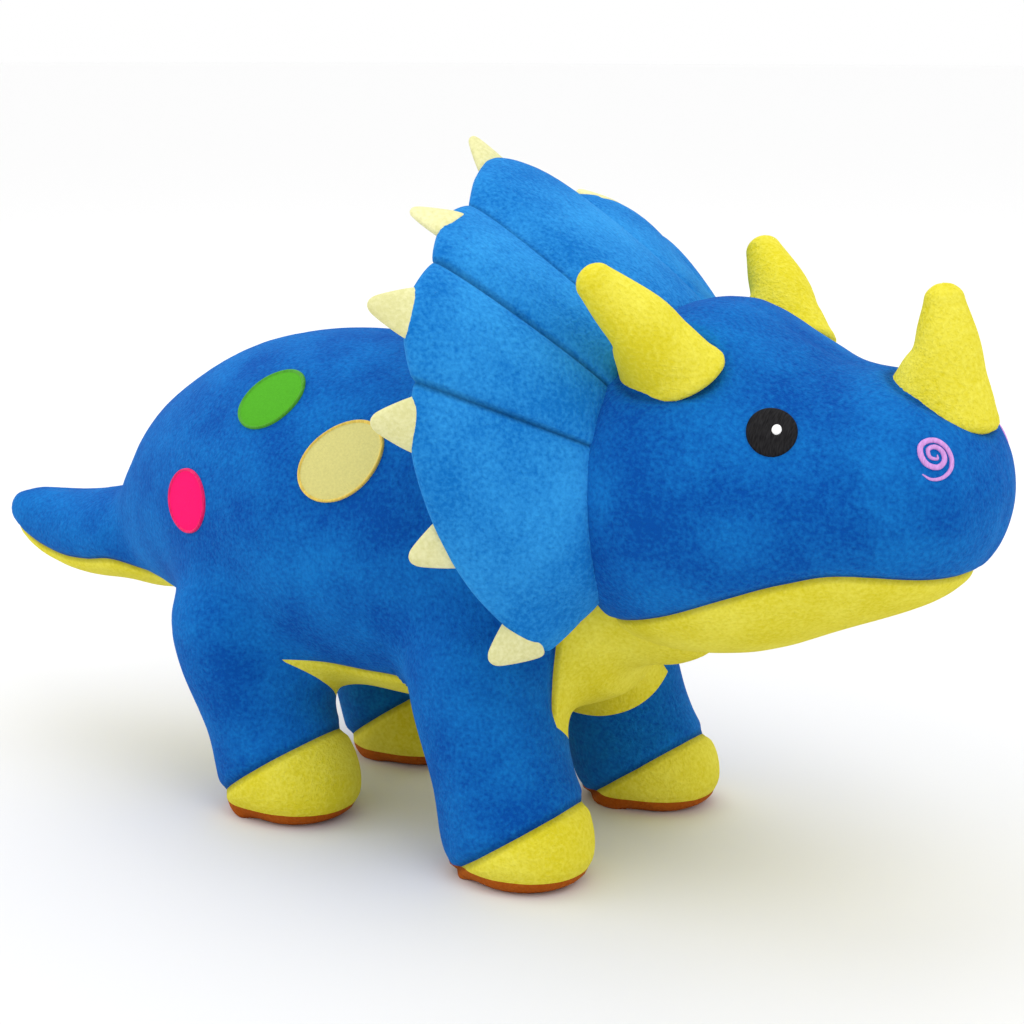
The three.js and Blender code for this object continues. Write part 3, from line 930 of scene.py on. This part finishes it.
class DINOSAUR_OT_body(bpy.types.Operator):
    """Sew the body, the legs, the tail and the neck from panels of one stuffed skin"""

    bl_idname = "dinosaur.body"
    bl_label = "Body, legs and tail"

    def execute(self, context):
        sizes = context.scene.dinosaur_sizes
        forms = [side_view_form(table) for table in (TORSO, NECK, TAIL)]
        forms += [leg_form(end, side) for end in FEET for side in SIDES.values()]
        made = stuffed_skin("body_skin", forms, sizes)
        cut_along(made.data, leg_side)
        cut_along(made.data, above_belly, lambda points: leg_side(points) < 0.01)
        cut_along(made.data, above_toe_cap, lambda points: points[:, 2] < 0.07)
        cut_along(made.data, above_sole)
        for x in (TAIL_BEND[0], NECK_BEND[1]):
            cut_along(made.data, ahead_of(x))
        cut_along(made.data, across_middle, over_belly)
        regions = faces_by_region(made.data, body_region)
        seams = [
            (above_belly, off_legs),
            (above_toe_cap, on_legs),
            (above_sole, lambda points: 0.3 * on_legs(points)),
            (across_middle, lambda points: 0.4 * over_belly(points)),
        ]
        skin = Skin(made, pull_seams(made.data, seams, sizes))
        for region, chosen in regions.items():
            join_to_body(panel(region, skin, chosen, body_finish(region)), region)
        self.add_spots(skin)
        return {"FINISHED"}

    def add_spots(self, skin):
        for side, sign in SIDES.items():
            for hue, spot in SPOTS.items():
                finishes = [materials()[f"{hue}_applique"], materials()[f"{hue}_edge"]]
                name = f"{side}_spot_{hue}"
                made = patch(f"{name}_applique", skin.tree, spot, sign, SPOT_HEIGHT, finishes)
                fix_patch(made, name, "torso")


# ---- Patches of cloth and thread ----


class Ground:
    """A flat chart of a skin round a place on it, along which patches and stitches are laid."""

    def __init__(self, tree, shape, sign):
        self.tree = tree
        x, z = np.array(shape["at"]) * MM
        tilt = shape.get("tilt")
        self.middle = np.array([x, sign * 0.3, z])
        towards = np.array([0.0, -sign, 0.0])
        if tilt is None:
            place, normal = self.cast(self.middle, towards)
            self.middle = place + normal * 0.05
            towards = -normal
            tilt = 0
        self.towards = towards
        along = unit(np.array([1.0, 0, 0]) - towards * towards[0])
        over = unit(np.array([0, 0, 1.0]) - towards * towards[2] - along * along[2])
        turn = math.radians(tilt)
        self.along = along * math.cos(turn) - over * math.sin(turn)
        self.over = along * math.sin(turn) + over * math.cos(turn)

    def cast(self, start, towards):
        place, normal, _, _ = self.tree.ray_cast(Vector(start), Vector(towards))
        if place is None:
            raise RuntimeError("a patch reaches past its skin")
        return np.array(place), np.array(normal)

    def above(self, along, over, height):
        """The place at a height over the skin, under a point of the chart, in metres."""
        start = self.middle + self.along * along + self.over * over
        place, normal = self.cast(start, self.towards)
        return place + normal * height


PATCH_AROUND = 72
PATCH_DEPTH = 0.0012  # how far a patch reaches under its skin
STITCHED_EDGE = 0.0014
SPOT_HEIGHT = 0.0011
STITCH_AROUND = 12


def patch(name, tree, shape, sign, height, finishes):
    """A low dome that follows a skin, with a satin-stitched edge if it has two finishes."""
    ground = Ground(tree, shape, sign)
    half = np.array(shape["size"]) / 2 * MM
    edge = STITCHED_EDGE / half.mean()
    shares = edge_shares(edge) if len(finishes) == 2 else plain_shares()
    angles = circle(PATCH_AROUND)
    rings = []
    for share, raised in shares:
        lift = raised * height if raised > 0 else -PATCH_DEPTH
        spots = [half * share * (math.cos(angle), math.sin(angle)) for angle in angles]
        rings.append(np.array([ground.above(across, up, lift) for across, up in spots]))
    made = add_object(name, *outward(*tube(rings)))
    for finish in finishes:
        made.data.materials.append(finish)
    if len(finishes) == 2:
        bounds = [i for i, (share, _) in enumerate(shares) if share >= 1 - edge]
        mark_edge(made.data, bounds, len(angles))
    return made


def stitched_curl(name, tree, shape, sign, finish):
    """A raised line of satin stitches that curls over a skin."""
    ground = Ground(tree, shape, sign)
    path = smooth_track(NOSTRIL_CURL, 6) * MM
    along = unit(np.gradient(path, axis=0))
    angles = circle(STITCH_AROUND)
    ends = np.sin(np.linspace(0, math.pi, len(path))) ** 0.4
    rings = []
    for (x, z), (dx, dz), full in zip(path, along, ends):
        stitch = shape["stitch"] * MM * max(full, 0.2)
        ring = []
        for angle in angles:
            aside = stitch * math.cos(angle)
            lift = stitch * (0.15 + 0.85 * math.sin(angle))
            ring.append(ground.above(x - dz * aside, z + dx * aside, lift))
        rings.append(np.array(ring))
    made = add_object(name, *outward(*tube(rings)))
    made.data.materials.append(finish)
    return made


def fix_patch(made, node, body):
    """Hides the frame node that a sewn-on piece stands for and moves it with a body."""
    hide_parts(node)
    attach(made, body)


# The rings of a patch, as (share of the radius, share of the height or -1 under the skin).
UNDERSIDE = [(0.99, -1), (0.5, -1), (0.02, -1)]


def plain_shares():
    """Rings of a plain dome."""
    dome = [(share, (1 - share**4) ** 0.5) for share in (0.02, 0.3, 0.55, 0.75, 0.88, 0.96)]
    return dome + [(1.0, 0.12)] + UNDERSIDE


def edge_shares(edge):
    """Rings of a flat patch with a round stitched edge, edge being its share of the radius."""
    inner = 1 - edge
    flat = [(share * inner, 0.55) for share in (0.02, 0.35, 0.7, 0.97)]
    bead = [(inner + edge * t, 0.55 + 0.75 * math.sin(math.pi * t)) for t in (0, 0.2, 0.5, 0.8)]
    return flat + bead + [(1.0, 0.2)] + UNDERSIDE


def mark_edge(mesh, rings, count):
    """Gives the faces of the stitched rings the second finish."""
    low, high = 1 + rings[0] * count, 1 + (rings[-1] + 1) * count
    for polygon in mesh.polygons:
        if min(polygon.vertices) >= low and max(polygon.vertices) < high:
            polygon.material_index = 1


# ---- Head ----


def above_lip(points):
    return points[:, 2] - line_height(LIP_LINE, points[:, 0])


def head_region(place):
    """The name of the panel that a place on the head's skin belongs to."""
    if above_lip(np.array([place]))[0] < 0:
        return "chin_panel"
    return "head_left_panel" if place[1] > 0 else "head_right_panel"


def horn_rim(horn, sign):
    """Zero on the ring where a horn is sewn on."""
    base = np.array(horn["base"]) * MM * (1, sign, 1)
    half = np.array([horn["long"], horn["wide"] * 1.1, horn["wide"] * 1.3]) * MM
    return lambda points: (np.linalg.norm((points - base) / half, axis=1) - 1) * horn["wide"] * MM


HORNS = {
    "left_brow_horn": (BROW_HORN, 1),
    "right_brow_horn": (BROW_HORN, -1),
    "nose_horn": (NOSE_HORN, 1),
}


class DINOSAUR_OT_head(bpy.types.Operator):
    """Sew the head from two side panels and a chin, and stitch its eyes and nostrils"""

    bl_idname = "dinosaur.head"
    bl_label = "Head and face"

    def execute(self, context):
        sizes = context.scene.dinosaur_sizes
        made = stuffed_skin("head_skin", [side_view_form(HEAD)], sizes)
        cut_along(made.data, above_lip)
        cut_along(made.data, across_middle, lambda points: above_lip(points) > -RUN_ON)
        regions = faces_by_region(made.data, head_region)
        seams = [
            (above_lip, 1.0),
            (across_middle, lambda points: 0.3 * (above_lip(points) > 0)),
        ]
        seams += [(horn_rim(horn, sign), 1.0) for horn, sign in HORNS.values()]
        skin = Skin(made, pull_seams(made.data, seams, sizes))
        for region in ("chin_panel", "head_left_panel", "head_right_panel"):
            finish = "yellow_plush" if region == "chin_panel" else "blue_plush"
            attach(panel(region, skin, regions[region], finish), "head")
        self.add_face(skin)
        return {"FINISHED"}

    def add_face(self, skin):
        stitched = {
            "eye": (EYE, 0.0022, "black_thread"),
            "eye_glint": (GLINT, 0.0032, "white_thread"),
        }
        for side, sign in SIDES.items():
            for part, (shape, height, finish) in stitched.items():
                name = f"{side}_{part}"
                finishes = [materials()[finish]]
                made = patch(f"{name}_stitching", skin.tree, shape, sign, height, finishes)
                fix_patch(made, name, "head")
            name = f"{side}_nostril"
            thread_used = materials()["mauve_thread"]
            made = stitched_curl(f"{name}_stitching", skin.tree, NOSTRIL, sign, thread_used)
            fix_patch(made, name, "head")


# ---- Horns ----


def horn_mesh(horn, sign):
    """A bent soft horn whose base spreads along the head."""
    base, bend, tip = (np.array(horn[key], float) * (1, sign, 1) for key in ("base", "bend", "tip"))
    up, over = unit(bend - base), unit(tip - bend)
    long, wide, waist, end = (horn[key] for key in ("long", "wide", "waist", "round"))
    sections = [
        (base - up * 0.8 * wide, 0.5 * wide, 0.5 * long),
        (base - up * 0.5 * wide, 1.1 * wide, 1.1 * long),
        (base, wide, long),
        (0.5 * (base + bend), 0.5 * (wide + waist), 0.5 * (long + waist)),
        (bend, waist, waist),
        (bend + (tip - bend) * 0.55, 0.5 * (waist + end), 0.5 * (waist + end)),
        (tip, end, end),
        (tip + over * 0.55 * end, 0.84 * end, 0.84 * end),
        (tip + over * 0.9 * end, 0.44 * end, 0.44 * end),
        (tip + over * end, 0, 0),
    ]
    rows = [(tuple(point), side, ahead, ahead) for point, side, ahead in sections]
    return loft(rows, (1, 0, 0), around=40, steps=4)


class DINOSAUR_OT_horns(bpy.types.Operator):
    """Add the two brow horns and the nose horn, each bent a little above its base"""

    bl_idname = "dinosaur.horns"
    bl_label = "Horns"

    def execute(self, context):
        for name, (horn, sign) in HORNS.items():
            made = closed_piece(f"{name}_plush", horn_mesh(horn, sign), "yellow_plush", name)
            base = Vector(horn["base"]) * MM
            reach = (Vector(horn["bend"]) * MM - base).normalized() * horn["wide"] * MM
            start, end = base, base + reach
            start.y *= sign
            end.y *= sign
            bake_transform(made)
        return {"FINISHED"}


# ---- Frill ----


FRILL_STEPS = 14
FRILL_RING = 52
FRILL_TAPER = 20  # the frill thins where it is shorter than this
QUILTING_WIDTH = 0.1  # how far from its line the painted shade of the quilting reaches, in rows
WADDING_INSET = 2.0


def frill_track():
    """Root, rim, half thickness, fullness and distance from the quilting, from end to end."""
    left = [(*root, *rim, thick) for root, rim, thick in FRILL_ROWS]
    right = [(x, -y, z, u, -v, w, thick) for x, y, z, u, v, w, thick in left[1:]]
    track = smooth_track(left[::-1] + right, FRILL_STEPS)
    crown = len(left) - 1
    spots = np.linspace(0, 2 * crown, len(track))
    stitched = sorted(crown + sign * row for row in FRILL_QUILTING for sign in (-1, 1))
    bounds = np.array([-0.01, *stitched, 2 * crown + 0.01])
    lobe = np.searchsorted(bounds, spots, side="right") - 1
    local = (spots - bounds[lobe]) / (bounds[lobe + 1] - bounds[lobe])
    full = np.sqrt(np.maximum(1 - np.abs(2 * local - 1) ** 4, 0))
    away = np.min(np.abs(spots[:, None] - np.array(stitched)), axis=1)
    return track[:, :3], track[:, 3:6], track[:, 6], full, away


def frill_rings(inset=0.0):
    """Rings of points round the frill's padding, from one end to the other, in metres."""
    roots, rims, thick, full, _ = frill_track()
    out = rims - roots
    reach = np.linalg.norm(out, axis=1)
    out = unit(out)
    along = unit(np.gradient((roots + rims) / 2, axis=0))
    face = unit(np.cross(out, along))
    ends = np.minimum(1, reach / FRILL_TAPER)
    half = (SEWN_THICKNESS + (thick - SEWN_THICKNESS) * full) * ends + 0.5 - inset
    start = inset - FRILL_SUNK * ends
    reach = reach + SCALLOP * (1.6 * full - 1) * ends - inset
    angles = circle(FRILL_RING)
    rings = []
    for k in range(len(roots)):
        outwards = start[k] + (reach[k] - start[k]) * (0.5 - 0.5 * np.cos(angles))
        offset = np.sign(np.sin(angles)) * np.abs(np.sin(angles)) ** 0.6 * max(half[k], 0.4)
        rings.append((roots[k] + np.outer(outwards, out[k]) + np.outer(offset, face[k])) * MM)
    return rings


class DINOSAUR_OT_frill(bpy.types.Operator):
    """Quilt the frill from a front, a back and wadding, and sew its spikes to the rim"""

    bl_idname = "dinosaur.frill"
    bl_label = "Frill and spikes"

    def execute(self, context):
        rings = frill_rings()
        points, faces = outward(*tube(rings))
        away = frill_track()[-1]
        ring_of = np.clip((np.arange(len(points)) - 1) // FRILL_RING, 0, len(rings) - 1)
        # Painted shade along the quilting, darkest on its lines.
        pulled = np.exp(-((away[ring_of] / QUILTING_WIDTH) ** 2))
        skin = Skin(add_object("frill_skin", points, faces), pulled)
        side_of = np.arange(len(faces)) // (len(rings) + 1)
        front = side_of < FRILL_RING / 2
        for name, chosen in (("frill_front", front), ("frill_back", ~front)):
            made = panel(name, skin, np.flatnonzero(chosen), "frill_plush")
            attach(made, "head")
        form = outward(*tube(frill_rings(WADDING_INSET)))
        wadding = closed_piece("frill_wadding_fibre", form, "fibre_fill", "frill_wadding")
        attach(wadding, "head")
        self.add_spikes()
        return {"FINISHED"}

    def add_spikes(self):
        steps = 20
        rows = smooth_track([(*root, *rim) for root, rim, _ in FRILL_ROWS], steps)
        for number, (row, lean) in enumerate(SPIKE_ROWS):
            index = round(row * steps)
            root, rim = rows[index, :3], rows[index, 3:]
            out = unit(unit(rim - root) + (0, 0, lean))
            along = rows[index + 1, 3:] - rows[max(index - 1, 0), 3:]
            along = along if number else np.array([0.0, 1.0, 0.0])
            sides = SIDES.items() if number else [("crown", 1)]
            for side, sign in sides:
                node = f"{side}_frill_spike_{number}" if number else "frill_spike_crown"
                points, faces = spike(rim, out, along)
                form = outward(points * (1, sign, 1), faces)
                made = closed_piece(f"{node}_felt", form, "cream_felt", node)
                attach(made, "head")


def spike(rim, out, along):
    """A flat padded spike with a rounded tip, standing in the frill's rim seam."""
    face = unit(np.cross(out, along))
    profile = [
        (0, 0), (0.02, 0.8), (0.12, 1.0), (0.35, 0.86), (0.6, 0.64), (0.8, 0.44),
        (0.92, 0.29), (0.985, 0.13), (1.0, 0),
    ]
    sections = []
    for share, wide in profile:
        place = rim + out * (SPIKE["length"] * share - SPIKE["sunk"])
        side = wide * SPIKE["width"] / 2
        deep = wide**0.6 * SPIKE["thickness"] / 2 if wide else 0
        sections.append((tuple(place), side, deep, deep))
    return loft(sections, tuple(face), around=28, steps=3)


# ---- Filling ----


FILLING_PITCH = 1.2  # size of the filling's mesh, as a share of the covers' pitch
FILLING_FILLETS = 2


def draw_in(mesh, slack):
    """Moves a closed form's surface inwards, by no more than a third of its own thickness."""
    points, normals = points_of(mesh), normals_of(mesh)
    tree = BVHTree.FromPolygons(points.tolist(), faces_of(mesh))
    moves = []
    for point, normal in zip(points, normals):
        inwards = Vector(-normal)
        depth = tree.ray_cast(Vector(point) + 0.1 * MM * inwards, inwards)[3]
        moves.append(min(slack, (depth or 0) / 3))
    set_points(mesh, points - normals * np.array(moves)[:, None])


class DINOSAUR_OT_filling(bpy.types.Operator):
    """Fill the covers with loose fibre, a little smaller than the room they leave"""

    bl_idname = "dinosaur.filling"
    bl_label = "Filling"

    def execute(self, context):
        sizes = context.scene.dinosaur_sizes
        for name, node in frame["nodes"].items():
            if not name.endswith("_stuffing"):
                continue
            made = add_object(f"{name}_fibre", points_of(node.data), faces_of(node.data))
            even_mesh(made, FILLING_PITCH * sizes.pitch)
            smooth_skin(made.data, FILLING_FILLETS)
            draw_in(made.data, sizes.slack)
            made.data.materials.append(materials()["fibre_fill"])
            finish_piece(made, [name])
            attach(made, name.removesuffix("_stuffing"))
        return {"FINISHED"}


class DINOSAUR_PT_panel(bpy.types.Panel):
    """Lists the sizes, the colours and the steps that sew the toy"""

    bl_idname = "DINOSAUR_PT_panel"
    bl_label = "Stuffed dinosaur"
    bl_space_type = "VIEW_3D"
    bl_region_type = "UI"
    bl_category = "Dinosaur"

    def draw(self, context):
        layout = self.layout
        for group in (context.scene.dinosaur_sizes, context.scene.dinosaur_colours):
            for key in group.__annotations__:
                layout.prop(group, key)
        for step in STEPS:
            layout.operator(step.bl_idname)


STEPS = (
    DINOSAUR_OT_stage, DINOSAUR_OT_body, DINOSAUR_OT_head, DINOSAUR_OT_horns,
    DINOSAUR_OT_frill, DINOSAUR_OT_filling,
)
CLASSES = (DinosaurSizes, DinosaurColours, *STEPS, DINOSAUR_PT_panel)


def register():
    for made in CLASSES:
        bpy.utils.register_class(made)
    bpy.types.Scene.dinosaur_sizes = PointerProperty(type=DinosaurSizes)
    bpy.types.Scene.dinosaur_colours = PointerProperty(type=DinosaurColours)


def unregister():
    del bpy.types.Scene.dinosaur_colours
    del bpy.types.Scene.dinosaur_sizes
    for made in reversed(CLASSES):
        bpy.utils.unregister_class(made)


def main():
    """Sews the whole toy."""
    register()
    bpy.ops.dinosaur.stage()
    bpy.ops.dinosaur.body()
    bpy.ops.dinosaur.head()
    bpy.ops.dinosaur.horns()
    bpy.ops.dinosaur.frill()
    bpy.ops.dinosaur.filling()


if __name__ == "__main__":
    main()
